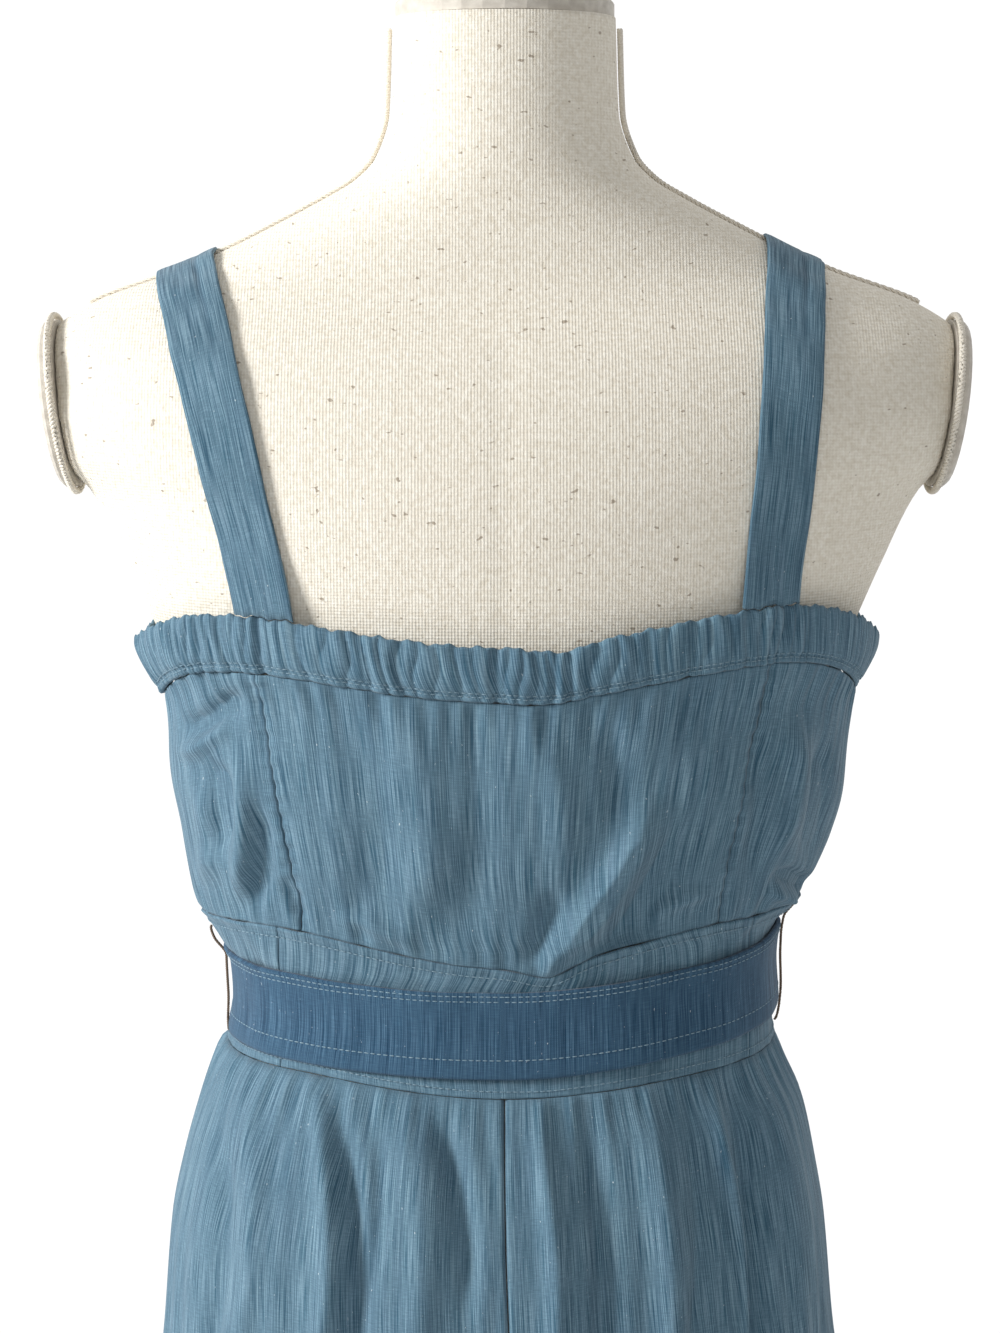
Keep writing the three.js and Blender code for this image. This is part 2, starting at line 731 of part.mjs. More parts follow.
function addBodice() {
  const leftSeam = princessTurn("left");
  const rightSeam = princessTurn("right");
  add("bodice_back_centre", bodicePanel(leftSeam, rightSeam, 14, 6), colours.denim);
  add("bodice_back_side_l", bodicePanel(fixedTurn(-90), leftSeam, 7, 6), colours.denim);
  add("bodice_back_side_r", bodicePanel(rightSeam, fixedTurn(90), 7, 6), colours.denim);
  add("bodice_front", bodicePanel(fixedTurn(90), fixedTurn(270), 22, 6), colours.denim);
  const join = joinTurn(bandJoin, "right");
  add("band_back", topBand(fixedTurn(-90), join, 24), colours.denim);
  add("band_front", topBand(join, fixedTurn(270), 30), colours.denim);
  add("strap_l", strapSolid({ backEnd: -101, shoulder: -139, frontEnd: -96, across: 2, along: 26 }), colours.denim);
  add("strap_r", strapSolid({ backEnd: 112, shoulder: 126, frontEnd: 98, across: 2, along: 26 }), colours.denim);
}

function addWaist() {
  const leftJoin = joinTurn(waistbandJoins.left, "left");
  const rightJoin = joinTurn(waistbandJoins.right, "right");
  add("waistband_back", waistbandPiece(leftJoin, rightJoin, 14), colours.denim);
  add("waistband_front", waistbandPiece(rightJoin, (z) => leftJoin(z) + 360, 32), colours.denim);
  add("belt", beltRing(), colours.beltDenim);
  add("belt_knot", beltKnot(), colours.beltDenim);
  add("belt_tail_l", beltTail(-1, 210), colours.beltDenim);
  add("belt_tail_r", beltTail(1, 185), colours.beltDenim);
  add("belt_loop_l", threadLoop(-1, 1078, 1029), colours.thread);
  add("belt_loop_r", threadLoop(1, 1089, 1034), colours.thread);
}

function addTrousers() {
  add("trouser_back_l", trouserPanel("left", -90, -90, 16), colours.denim);
  add("trouser_back_r", trouserPanel("right", 0, -90, 16), colours.denim);
  add("trouser_front_r", trouserPanel("right", 90, 90, 16), colours.denim);
  add("trouser_front_l", trouserPanel("left", 180, 90, 16), colours.denim);
}

addStand();
addBodice();
addWaist();
addTrousers();

export default part;
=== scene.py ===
import math
import bpy
import numpy as np
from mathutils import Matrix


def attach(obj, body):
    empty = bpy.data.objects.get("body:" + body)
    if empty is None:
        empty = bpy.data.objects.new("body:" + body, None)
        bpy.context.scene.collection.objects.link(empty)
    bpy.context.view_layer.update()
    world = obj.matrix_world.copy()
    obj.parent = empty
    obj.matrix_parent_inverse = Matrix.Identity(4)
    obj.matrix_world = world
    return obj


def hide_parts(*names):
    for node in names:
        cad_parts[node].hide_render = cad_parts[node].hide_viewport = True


# Looks of a wide-leg denim jumpsuit on a canvas dress form.
# Sizes are millimetres in the row frame: +Z up, +Y the way the garment faces, +X the wearer's right.
# An angle round the body ("turn") is 0 at the middle of the back, 90 at the wearer's right, 180 in front.

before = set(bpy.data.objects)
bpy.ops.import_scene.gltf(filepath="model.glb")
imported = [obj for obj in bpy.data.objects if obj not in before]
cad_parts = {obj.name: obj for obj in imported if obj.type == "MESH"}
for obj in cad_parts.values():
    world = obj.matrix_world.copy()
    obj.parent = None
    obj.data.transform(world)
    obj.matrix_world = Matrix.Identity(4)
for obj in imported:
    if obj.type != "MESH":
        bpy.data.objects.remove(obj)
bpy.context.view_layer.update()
mm = 0.001


view = {"lens": 78.7, "place": (-0.002, -1.300, 1.368), "pitch": 7.6}  # pitch in degrees below level
cameraData = bpy.data.cameras.new("camera")
cameraData.lens = view["lens"]
camera = bpy.data.objects.new("camera", cameraData)
camera.location = view["place"]
camera.rotation_euler = (math.radians(90 - view["pitch"]), 0, 0)
bpy.context.scene.collection.objects.link(camera)
bpy.context.scene.camera = camera


squareness = 2.2
crotchHeight = 752
hemHeight = 45
seatHeight = 900
seamDrift = 19

formTable = np.array([  # z, half, back, front
    (850, 140, 102, 91), (856, 145, 106, 95), (880, 146, 107, 97), (915, 142, 105, 96), (960, 132, 96, 92),
    (1010, 118, 82, 84), (1045, 112, 76, 78), (1080, 114, 76, 80), (1120, 124, 81, 90), (1160, 134, 87, 102),
    (1190, 142, 91, 107), (1207, 152, 93, 109), (1243, 168, 97, 108), (1274, 183, 99, 95),
    (1292, 200, 97, 85), (1313, 210, 92, 72), (1335, 207, 81, 60), (1345, 200, 72, 54), (1358, 180, 60, 48),
    (1371, 144, 54, 46), (1382, 119, 52, 45), (1392, 99, 51, 45), (1402, 80, 51, 46), (1411, 65, 51, 47),
    (1421, 56, 51, 48), (1440, 50, 51, 48), (1480, 48.5, 50, 48)], float)
garmentTable = np.array([  # z, left, right, back, front
    (752, 166, 161, 121, 106), (800, 163, 159, 120, 106), (860, 159, 154, 119, 106),
    (900, 156, 150, 117, 105), (946, 152, 146, 111, 102), (970, 147, 142, 107, 100),
    (998, 139, 136, 98, 96), (1018, 131, 127, 91, 92),
    (1032, 123, 122, 87, 89), (1048, 120.5, 121, 85, 88), (1064, 121.5, 120, 85, 89),
    (1072, 128, 120.5, 86, 91), (1082, 134, 123, 88, 94), (1090, 138, 131, 89.5, 97),
    (1100, 141, 137, 91, 100), (1121, 146, 147, 95, 106), (1155, 150, 154, 98, 112),
    (1183, 152, 156, 98, 117), (1207, 163, 166, 100, 119),
    (1240, 168, 171, 102, 118)], float)
legTables = {  # z, outer, inner, back, front
    "left": np.array([
        (45, -205, 16, 116, 112), (400, -187, 17, 119, 109), (752, -166, 18.85, 121, 106)], float),
    "right": np.array([
        (45, 235, 26, 116, 112), (400, 195, 24, 119, 109), (752, 161, 19.15, 121, 106)], float)}
princessTable = np.array([(1075, -86, 91), (1107, -90, 94), (1141, -96, 101), (1204, -106, 113)], float)
bandTable = np.array([  # turn, low, high
    (-180, 1205, 1231), (-140, 1208, 1234), (-90, 1183, 1208), (-43, 1202, 1227), (0, 1192, 1216),
    (43, 1206, 1231), (90, 1185, 1210), (140, 1208, 1234), (180, 1205, 1231)], float)
waistTable = np.array([  # turn, low, high, belt middle
    (-180, 1024, 1084, 1049), (-90, 1026, 1086, 1050), (-45, 1026, 1090, 1049), (0, 1020, 1076, 1047),
    (45, 1026, 1092, 1055), (90, 1028, 1094, 1061), (180, 1024, 1084, 1049)], float)


# A column of a table on a smooth curve that never passes its own rows (harmonic mean tangents).
def read(table, column, place):
    x, y = table[:, 0], table[:, column]
    slope = np.diff(y) / np.diff(x)
    before, after = slope[:-1], slope[1:]
    same = before * after > 0
    inner = np.where(same, 2 * before * after / np.where(same, before + after, 1), 0)
    tangent = np.concatenate([slope[:1], inner, slope[-1:]])
    place = np.clip(place, x[0], x[-1])
    i = np.clip(np.searchsorted(x, place) - 1, 0, len(x) - 2)
    h = x[i + 1] - x[i]
    t = (place - x[i]) / h
    rise = t * t * (3 - 2 * t)
    bend = t * (1 - t) ** 2 * tangent[i] - t * t * (1 - t) * tangent[i + 1]
    return y[i] * (1 - rise) + y[i + 1] * rise + h * bend


# 0 below low, 1 above high, and 3t² - 2t³ of the share t between them.
def smooth(value, low, high):
    t = np.clip((value - low) / (high - low), 0, 1)
    return t * t * (3 - 2 * t)


# The straight blend from a to b.
def mix(a, b, share):
    return a + (b - a) * share


# The unit rounded oblong |x|^n + |y|^n = 1.
def unitOblong(turn):
    side, back = np.sin(np.radians(turn)), np.cos(np.radians(turn))
    reach = (np.abs(side) ** squareness + np.abs(back) ** squareness) ** (1 / squareness)
    return side / reach, -back / reach


# The turn at which an oblong of this half width reaches x: unitOblong solved for its angle.
def turnAt(x, half):
    share = np.clip(np.abs(x) / half, 0, 0.999) ** squareness
    return np.sign(x) * np.degrees(np.arctan((share / (1 - share)) ** (1 / squareness)))


# Turns past 180 counted from the other side: turn - 360.
def wrap(turn):
    return np.where(turn > 180, turn - 360, turn)


# The garment's outer skin: the unit oblong times the half sizes at z. Below 1000 it drifts sideways by the
# square of the share down to the crotch, times the square of the unit's depth.
def garmentPoint(turn, z, lift=0.0):
    ux, uy = unitOblong(turn)
    x = ux * (np.where(ux < 0, read(garmentTable, 1, z), read(garmentTable, 2, z)) + lift)
    y = uy * (np.where(uy < 0, read(garmentTable, 3, z), read(garmentTable, 4, z)) + lift)
    drift = seamDrift * np.clip((1000 - z) / (1000 - crotchHeight), 0, 1) ** 2
    return np.stack([x + drift * uy * uy, y, z + 0 * x], -1)


# A leg's outer skin: the unit oblong times the half sizes at z, round the leg's own middle.
def legPoint(side, turn, z):
    ux, uy = unitOblong(turn)
    table = legTables[side]
    outer, inner = read(table, 1, z), read(table, 2, z)
    depth = np.where(uy < 0, read(table, 3, z), read(table, 4, z))
    return np.stack([(outer + inner) / 2 + ux * np.abs(outer - inner) / 2, uy * depth, z + 0 * ux], -1)


# The form's depth at x: full depth times (1 - |x / half|^n)^(1/n).
def formDepth(x, z, side):
    share = np.clip(np.abs(x) / read(formTable, 1, z), 0, 0.9999) ** squareness
    return side * read(formTable, 2 if side < 0 else 3, z) * (1 - share) ** (1 / squareness)


# Outward normals: the step across crossed with the step up, made one long.
def gridNormals(points):
    across, up = np.gradient(points, axis=1), np.gradient(points, axis=0)
    normal = np.cross(across, up)
    return normal / np.maximum(np.linalg.norm(normal, axis=-1, keepdims=True), 1e-9)


# Quads between neighbouring rows and columns, round on itself when wrapped.
def gridFaces(rows, columns, wrapped=False):
    j, i = np.meshgrid(np.arange(rows - 1), np.arange(columns if wrapped else columns - 1), indexing="ij")
    nextI = (i + 1) % columns
    low, high = j * columns, (j + 1) * columns
    quads = np.stack([low + i, low + nextI, high + nextI, high + i], -1)
    return quads.reshape(-1, 4)


# Flat faces that close the first and the last ring of a wrapped grid.
def ringLids(rings, count):
    return [list(range(count))[::-1], list(range((rings - 1) * count, rings * count))]


# A mesh object in metres from points in millimetres, with each corner's place on the cloth as UV.
def meshObject(name, points, faces, place=None, lids=()):
    mesh = bpy.data.meshes.new(name)
    mesh.from_pydata((points.reshape(-1, 3) * mm).tolist(), [], faces.tolist() + list(lids))
    if place is not None:
        corners = np.empty(len(mesh.loops), np.int32)
        mesh.loops.foreach_get("vertex_index", corners)
        layer = mesh.uv_layers.new(name="cloth")
        layer.data.foreach_set("uv", (place.reshape(-1, 2)[corners] * mm).astype(np.float32).ravel())
    mesh.polygons.foreach_set("use_smooth", [True] * len(mesh.polygons))
    mesh.update()
    made = bpy.data.objects.new(name, mesh)
    bpy.context.scene.collection.objects.link(made)
    return made


# Gives a piece its material, the CAD nodes it stands for and the body it rides.
def finishPiece(made, material, nodes=()):
    made.data.materials.append(material)
    if nodes:
        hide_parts(*nodes)
    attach(made, "root")
    return made


# Where each point of a grid lies on the flat cloth: lengths along the middle row and the middle column.
def clothPlace(points):
    rows, columns = points.shape[:2]
    wide = np.linalg.norm(np.diff(points[rows // 2], axis=0), axis=-1)
    tall = np.linalg.norm(np.diff(points[:, columns // 2], axis=0), axis=-1)
    s = np.concatenate([[0], np.cumsum(wide)])
    t = np.concatenate([[0], np.cumsum(tall)])
    return np.stack(np.broadcast_arrays(s[None, :], t[:, None]), -1)


# A cloth piece: its outer skin is the grid, and its thickness is added inward.
def clothPiece(name, points, thickness, material, nodes, wrapped=False):
    place = clothPlace(points)
    body = points[:, :-1] if wrapped else points
    faces = gridFaces(body.shape[0], body.shape[1], wrapped)
    made = meshObject(name, body, faces, place[:, :-1] if wrapped else place)
    wall = made.modifiers.new("thickness", "SOLIDIFY")
    wall.thickness = thickness * mm
    wall.offset = -1
    finishPiece(made, material, nodes)
    return made


# Joins several grids (tubes, stitches) into one mesh.
def joinedMesh(name, parts):
    points, faces, start = [], [], 0
    for partPoints, partFaces in parts:
        points.append(partPoints.reshape(-1, 3))
        faces.append(partFaces + start)
        start += partPoints.size // 3
    return meshObject(name, np.concatenate(points), np.concatenate(faces))


creaseShape = {"depth": 2.3, "bow": 0.06}  # bow is a share of the crease length


# Soft lines pressed into or raised from cloth. Each row: x0, z0, x1, z1, height, width.
def creaseRise(x, z, creases):
    rise = np.zeros(np.broadcast(x, z).shape)
    for x0, z0, x1, z1, height, width in creases:
        height *= creaseShape["depth"]
        dx, dz = x1 - x0, z1 - z0
        length = math.hypot(dx, dz)
        t = ((x - x0) * dx + (z - z0) * dz) / length ** 2
        bow = creaseShape["bow"] * length * np.sin(np.clip(t, 0, 1) * math.pi)
        across = ((x - x0) * dz - (z - z0) * dx) / length + bow
        ends = smooth(t, -0.12, 0.3) * (1 - smooth(t, 0.7, 1.12))
        rise += height * ends * np.exp(-(across / width) ** 2)
    return rise


# Small uneven waves: a sum of sines with fixed seeds, each row a direction, a wavelength and a phase.
def softWaves(a, b, count, low, high, lean, seed):
    rng = np.random.default_rng(seed)
    total = np.zeros(np.broadcast(a, b).shape)
    for _ in range(count):
        length = rng.uniform(low, high)
        angle = rng.normal(0, lean)
        phase = rng.uniform(0, 2 * math.pi)
        total += np.sin(2 * math.pi * (a * math.cos(angle) + b * math.sin(angle)) / length + phase)
    return total / math.sqrt(count)


class Nodes:
    def __init__(self, name, roughness=0.9, metallic=0.0):
        self.material = bpy.data.materials.new(name)
        self.material.use_nodes = True
        self.tree = self.material.node_tree
        self.shader = self.tree.nodes["Principled BSDF"]
        self.shader.inputs["Roughness"].default_value = roughness
        self.shader.inputs["Metallic"].default_value = metallic
        self.shader.inputs["Specular IOR Level"].default_value = 0.25

    def add(self, kind, **settings):
        made = self.tree.nodes.new(kind)
        for key, value in settings.items():
            setattr(made, key, value)
        return made

    def link(self, source, target):
        self.tree.links.new(source, target)

    # Places on the cloth or in the object, stretched along each direction.
    def place(self, scale, source="UV"):
        coordinates = self.add("ShaderNodeTexCoord")
        mapping = self.add("ShaderNodeMapping")
        mapping.inputs["Scale"].default_value = scale
        self.link(coordinates.outputs[source], mapping.inputs["Vector"])
        return mapping.outputs["Vector"]

    def noise(self, scale, detail=3.0, source="UV"):
        made = self.add("ShaderNodeTexNoise")
        made.inputs["Scale"].default_value = 1.0
        made.inputs["Detail"].default_value = detail
        self.link(self.place(scale, source), made.inputs["Vector"])
        return made.outputs["Fac"]

    def wave(self, scale, direction, source="UV"):
        made = self.add("ShaderNodeTexWave", bands_direction=direction)
        made.inputs["Scale"].default_value = 1.0
        made.inputs["Distortion"].default_value = 1.2
        self.link(self.place(scale, source), made.inputs["Vector"])
        return made.outputs["Fac"]

    def ramp(self, source, stops):
        made = self.add("ShaderNodeValToRGB")
        made.color_ramp.elements[0].position = stops[0][0]
        made.color_ramp.elements[0].color = (*stops[0][1], 1)
        made.color_ramp.elements[1].position = stops[1][0]
        made.color_ramp.elements[1].color = (*stops[1][1], 1)
        self.link(source, made.inputs["Fac"])
        return made.outputs["Color"]

    def blend(self, kind, share, a, b):
        made = self.add("ShaderNodeMix", data_type="RGBA", blend_type=kind)
        if hasattr(share, "links"):
            self.link(share, made.inputs["Factor"])
        else:
            made.inputs["Factor"].default_value = share
        self.link(a, made.inputs["A"])
        self.link(b, made.inputs["B"])
        return made.outputs["Result"]

    def bump(self, heights, distance=0.0004):
        normal = None
        for source, strength in heights:
            made = self.add("ShaderNodeBump")
            made.inputs["Strength"].default_value = strength
            made.inputs["Distance"].default_value = distance
            self.link(source, made.inputs["Height"])
            if normal:
                self.link(normal, made.inputs["Normal"])
            normal = made.outputs["Normal"]
        self.link(normal, self.shader.inputs["Normal"])


# Slub denim: pale warp streaks along the cloth, short weft slubs across it, small white neps and a fine
# weave.
def denimMaterial(name, dark, pale, nep):
    nodes = Nodes(name)
    warp = nodes.noise((2100, 34, 1), 4)
    slub = nodes.noise((170, 2000, 1), 3)
    streak = nodes.noise((420, 9, 1), 3)
    cloud = nodes.noise((26, 12, 1), 4)
    base = nodes.ramp(warp, [(0.36, dark), (0.66, pale)])
    across = nodes.ramp(slub, [(0.38, (0.80, 0.82, 0.84)), (0.66, (1.14, 1.12, 1.1))])
    bands = nodes.ramp(streak, [(0.32, (0.80, 0.83, 0.86)), (0.72, (1.22, 1.18, 1.14))])
    worn = nodes.ramp(cloud, [(0.3, (0.90, 0.91, 0.93)), (0.75, (1.10, 1.08, 1.06))])
    colour = nodes.blend("MULTIPLY", 1.0, nodes.blend("MULTIPLY", 0.8, base, across), worn)
    colour = nodes.blend("MULTIPLY", 1.0, colour, bands)
    speck = nodes.ramp(nodes.noise((900, 420, 1), 2), [(0.72, (0, 0, 0)), (0.78, (0.8, 0.8, 0.8))])
    paint = nodes.ramp(cloud, [(0, nep), (1, nep)])
    colour = nodes.blend("MIX", speck, colour, paint)
    nodes.link(colour, nodes.shader.inputs["Base Color"])
    weave = nodes.wave((700, 700, 1), "DIAGONAL")
    nodes.bump([(weave, 0.2), (slub, 0.35), (warp, 0.45)], 0.0003)
    nodes.shader.inputs["Sheen Weight"].default_value = 0.12
    return nodes.material


# Basket-woven canvas with small dark flecks.
def canvasMaterial(name):
    nodes = Nodes(name, 0.95)
    across = nodes.wave((0, 0, 230), "Z", "Object")
    along = nodes.wave((230, 0, 0), "X", "Object")
    grain = nodes.noise((500, 500, 500), 3, "Object")
    weave = nodes.blend("MULTIPLY", 1.0, nodes.ramp(across, [(0, (0.93, 0.92, 0.90)), (1, (1, 1, 1))]),
                        nodes.ramp(along, [(0, (0.93, 0.92, 0.90)), (1, (1, 1, 1))]))
    base = nodes.ramp(grain, [(0.3, (0.76, 0.70, 0.59)), (0.7, (0.92, 0.88, 0.79))])
    colour = nodes.blend("MULTIPLY", 0.7, base, weave)
    spots = nodes.noise((260, 190, 420), 1, "Object")
    fleck = nodes.ramp(spots, [(0.725, (0, 0, 0)), (0.77, (0.7, 0.7, 0.7))])
    husk = nodes.ramp(grain, [(0, (0.2, 0.15, 0.1)), (1, (0.32, 0.25, 0.18))])
    colour = nodes.blend("MIX", fleck, colour, husk)
    nodes.link(colour, nodes.shader.inputs["Base Color"])
    nodes.bump([(across, 0.3), (along, 0.3), (grain, 0.4)], 0.0004)
    return nodes.material


# One fine grain that mixes two colours and raises the surface a little.
def plainMaterial(name, dark, pale, scale, roughness, metallic=0.0, strength=0.2):
    nodes = Nodes(name, roughness, metallic)
    grain = nodes.noise((scale, scale, scale * 1.6), 5, "Object")
    nodes.link(nodes.ramp(grain, [(0.3, dark), (0.72, pale)]), nodes.shader.inputs["Base Color"])
    nodes.bump([(grain, strength)], 0.0003)
    return nodes.material


denim = denimMaterial("denim", (0.034, 0.098, 0.150), (0.185, 0.300, 0.380), (0.62, 0.70, 0.74))
beltDenim = denimMaterial("belt_denim", (0.010, 0.048, 0.098), (0.070, 0.150, 0.235), (0.60, 0.68, 0.74))
canvas = canvasMaterial("canvas")
braid = plainMaterial("braid", (0.66, 0.60, 0.50), (0.88, 0.84, 0.76), 900, 0.9, 0, 0.5)
thread = plainMaterial("thread", (0.10, 0.07, 0.05), (0.24, 0.17, 0.12), 1500, 0.8, 0, 0.5)
paleThread = plainMaterial("topstitch", (0.12, 0.22, 0.29), (0.30, 0.40, 0.46), 1500, 0.8, 0, 0.5)
plate = plainMaterial("plate", (0.50, 0.46, 0.40), (0.66, 0.62, 0.55), 160, 0.55, 0, 0.2)
metal = plainMaterial("metal", (0.42, 0.42, 0.42), (0.58, 0.58, 0.57), 400, 0.35, 0.9, 0.1)


form = {"columns": 203, "armOut": 192.4, "armLean": 0.12, "armLevel": 1313, "armBack": -4,
        "armHeight": 37, "armWidth": 42, "seamDepth": 0.5, "seamTop": 1340}


# The form: the unit oblong times the half sizes at z, cut flat at the armholes, with sewn seams pressed in
# as narrow bells and both ends drawn in to small lids.
def buildForm():
    z = np.concatenate([np.linspace(850, 1280, 100), np.linspace(1283, 1480, 96)])[:, None]
    turn = np.linspace(0, 360, form["columns"], endpoint=False)[None, :]
    ux, uy = unitOblong(turn)
    limit = form["armOut"] + form["armLean"] * (z - form["armLevel"])
    x = np.clip(ux * read(formTable, 1, z), -limit, limit)
    y = uy * np.where(uy < 0, read(formTable, 2, z), read(formTable, 3, z))
    points = np.stack(np.broadcast_arrays(x, y, z), -1).copy()
    seams = [0, 38, 142, 180, 218, 322]
    rise = sum(np.exp(-((turn - seam) / 0.7) ** 2) for seam in seams) * -form["seamDepth"]
    points += gridNormals(points) * rise[..., None] * (z < form["seamTop"])[..., None]
    low, high = points[:1] * [0, 0, 1], points[-1:] * [0, 0, 1]
    shrink = [0.97, 0.9, 0.6, 0.3, 0.02]
    bottom = np.concatenate([mix(low, points[:1], s) for s in shrink[::-1]])
    top = np.concatenate([mix(high, points[-1:], s) for s in shrink])
    points = np.concatenate([bottom, points, top])
    rings, count = len(points), form["columns"]
    made = meshObject("form_canvas", points, gridFaces(rings, count, True), lids=ringLids(rings, count))
    finishPiece(made, canvas, ["form_body"])


# A round tube of a given radius along a path, closed at its ends or round on itself.
def tube(path, radius, sides=6, closed=False):
    step = np.roll(path, -1, 0) - np.roll(path, 1, 0) if closed else np.gradient(path, axis=0)
    step /= np.linalg.norm(step, axis=1, keepdims=True)
    helper = np.where(np.abs(step[:, 2:3]) > 0.85, [[1.0, 0.0, 0.0]], [[0.0, 0.0, 1.0]])
    first = np.cross(step, helper)
    first /= np.linalg.norm(first, axis=1, keepdims=True)
    second = np.cross(step, first)
    angle = np.linspace(0, 2 * math.pi, sides, endpoint=False)
    ring = first[:, None] * np.cos(angle)[None, :, None] + second[:, None] * np.sin(angle)[None, :, None]
    size = np.full(len(path), radius)
    if not closed:
        size[[0, -1]] = 0.05 * radius
    points = path[:, None] + ring * size[:, None, None]
    faces = gridFaces(len(path), sides, True)[:, ::-1]
    if closed:
        i = np.arange(sides)
        last = (len(path) - 1) * sides
        faces = np.concatenate([faces, np.stack([last + i, i, (i + 1) % sides, last + (i + 1) % sides], -1)])
    return points, faces


# Gimp braid: strands that wind round a path, in even loops.
def braidStrands(path, pitch, radius, strand, closed):
    length = np.linalg.norm(np.diff(path, axis=0), axis=1).sum()
    turns = max(round(length / pitch), 3)
    count = turns * 8
    sample = np.linspace(0, len(path) - 1, count + 1)[: count if closed else count + 1]
    line = np.stack([np.interp(sample, np.arange(len(path)), path[:, k]) for k in range(3)], -1)
    step = np.gradient(line, axis=0)
    step /= np.linalg.norm(step, axis=1, keepdims=True)
    side = np.cross(step, [0.0, 1.0, 0.0])
    side /= np.maximum(np.linalg.norm(side, axis=1, keepdims=True), 1e-6)
    other = np.cross(step, side)
    parts = []
    for start in (0, math.pi * 2 / 3, math.pi * 4 / 3):
        angle = np.arange(len(line)) / 8 * 2 * math.pi + start
        wound = line + side * (np.cos(angle) * radius)[:, None] + other * (np.sin(angle) * radius)[:, None]
        parts.append(tube(wound, strand, 6, closed))
    return parts


# The armhole rim: middle + cos(angle) times height upward + sin(angle) times width along the body.
def armRim(side, grow, out):
    angle = np.linspace(0, 2 * math.pi, 120, endpoint=False)
    lean = math.atan(form["armLean"])
    up = np.array([side * math.sin(lean), 0, math.cos(lean)])
    away = np.array([side * math.cos(lean), 0, -math.sin(lean)])
    middle = np.array([side * form["armOut"], form["armBack"], form["armLevel"]])
    return (middle + np.cos(angle)[:, None] * up * (form["armHeight"] + grow)
            + np.sin(angle)[:, None] * np.array([0, side, 0]) * (form["armWidth"] + grow) + away * out)


# Braid round each armhole, and up each side of the neck and shoulder.
def buildTrims():
    for name, side in (("l", -1), ("r", 1)):
        ring = armRim(side, 2.0, 2.0)
        closedPath = np.concatenate([ring, ring[:1]])
        made = joinedMesh(f"arm_braid_{name}", braidStrands(closedPath, 5.5, 0.95, 0.72, True))
        finishPiece(made, braid, [f"arm_trim_{name}"])
        z = np.linspace(1476, 1357, 90)
        half = read(formTable, 1, z) + 1.8
        path = np.stack([side * half, 0 * z, z], -1)
        made = joinedMesh(f"shoulder_braid_{name}", braidStrands(path, 5.5, 0.8, 0.65, False))
        finishPiece(made, braid, [f"shoulder_trim_{name}"])


# The CAD nodes that are shown as they are get their materials.
def dressCadNodes():
    finishes = {"neck_cap": plate, "arm_plate_l": plate, "arm_plate_r": plate,
                "stand_pole": metal, "stand_base": metal}
    for name, material in finishes.items():
        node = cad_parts[name]
        node.data.materials.clear()
        node.data.materials.append(material)


bodice = {"thickness": 1.2, "rows": 130, "seamGap": 0.3, "turnGap": 0.1}

backCreases = [  # x0, z0, x1, z1, height, width
    (-112, 1192, -140, 1172, -2.6, 5), (-118, 1182, -143, 1160, 1.6, 4), (-124, 1160, -127, 1118, -2.8, 6),
    (-114, 1165, -116, 1100, 2.4, 5), (-106, 1145, -108, 1098, -2.4, 4), (-133, 1150, -131, 1105, 1.6, 5),
    (-66, 1190, -58, 1085, -1.5, 10), (-40, 1185, -36, 1095, 1.3, 9), (-14, 1188, -18, 1090, -1.0, 8),
    (62, 1148, 14, 1074, 3.4, 7), (76, 1140, 42, 1078, -3.0, 7), (40, 1190, 46, 1135, -1.4, 7),
    (10, 1186, 26, 1120, 1.2, 8), (124, 1180, 118, 1120, 2.6, 7), (136, 1170, 134, 1110, -2.2, 6),
    (108, 1175, 104, 1110, -1.8, 5), (118, 1112, 136, 1096, -2.4, 4), (114, 1104, 130, 1092, 2.0, 3.5),
    (-70, 1098, -40, 1086, 1.2, 4), (60, 1096, 88, 1108, 1.4, 4), (-96, 1112, -88, 1092, -1.3, 3),
    (22, 1110, 10, 1078, -1.8, 5)]
frontCreases = [
    (-70, 1180, -60, 1095, -1.8, 9), (-30, 1175, -26, 1090, 1.6, 9), (20, 1180, 26, 1090, -1.6, 8),
    (64, 1180, 56, 1098, 2.0, 9), (100, 1180, 96, 1100, -2.0, 7), (-105, 1180, -100, 1100, 1.8, 7),
    (-50, 1130, 10, 1090, 1.6, 6), (50, 1140, 110, 1110, -1.6, 6)]


# Back creases behind and front creases in front, mixed over the sides by depth.
def garmentCreases(points):
    x, y, z = points[..., 0], points[..., 1], points[..., 2]
    back = smooth(-y, -5, 25)
    return creaseRise(x, z, backCreases) * back + creaseRise(x, z, frontCreases) * (1 - back)


# Part of the body: turn runs between two seams and z between two edges. Each depends on the other, so
# both are worked out in six rounds.
def bodyGrid(fromTurn, toTurn, low, high, columns, rows, lift=0.0):
    gap, margin = bodice["seamGap"], bodice["turnGap"]
    u = np.linspace(0, 1, columns)[None, :]
    v = np.linspace(0, 1, rows)[:, None]
    z = np.full((rows, columns), 1140.0)
    for _ in range(6):
        turn = mix(fromTurn(z) + margin, toTurn(z) - margin, u)
        z = mix(low(turn) + gap / 2, high(turn) - gap / 2, v)
    return garmentPoint(turn, z, lift), turn, z, v


# A seam that keeps one turn at every level.
def constant(turn):
    return lambda z: turn + 0 * z


# A princess seam: the turn that reaches its x at each level.
def seamTurn(column):
    return lambda z: turnAt(read(princessTable, column, z), read(garmentTable, column, z))


# An upright join: the turn that reaches one x at every level.
def joinTurn(x, side):
    return lambda z: turnAt(x, read(garmentTable, side, z))


# The edges of the band and the waistband: the table, with a bell-shaped dip near the middle of the back.
def bandLow(turn):
    dip = -1.5 * np.exp(-((wrap(turn) - 7) / 5) ** 2)
    return read(bandTable, 1, wrap(turn)) + dip


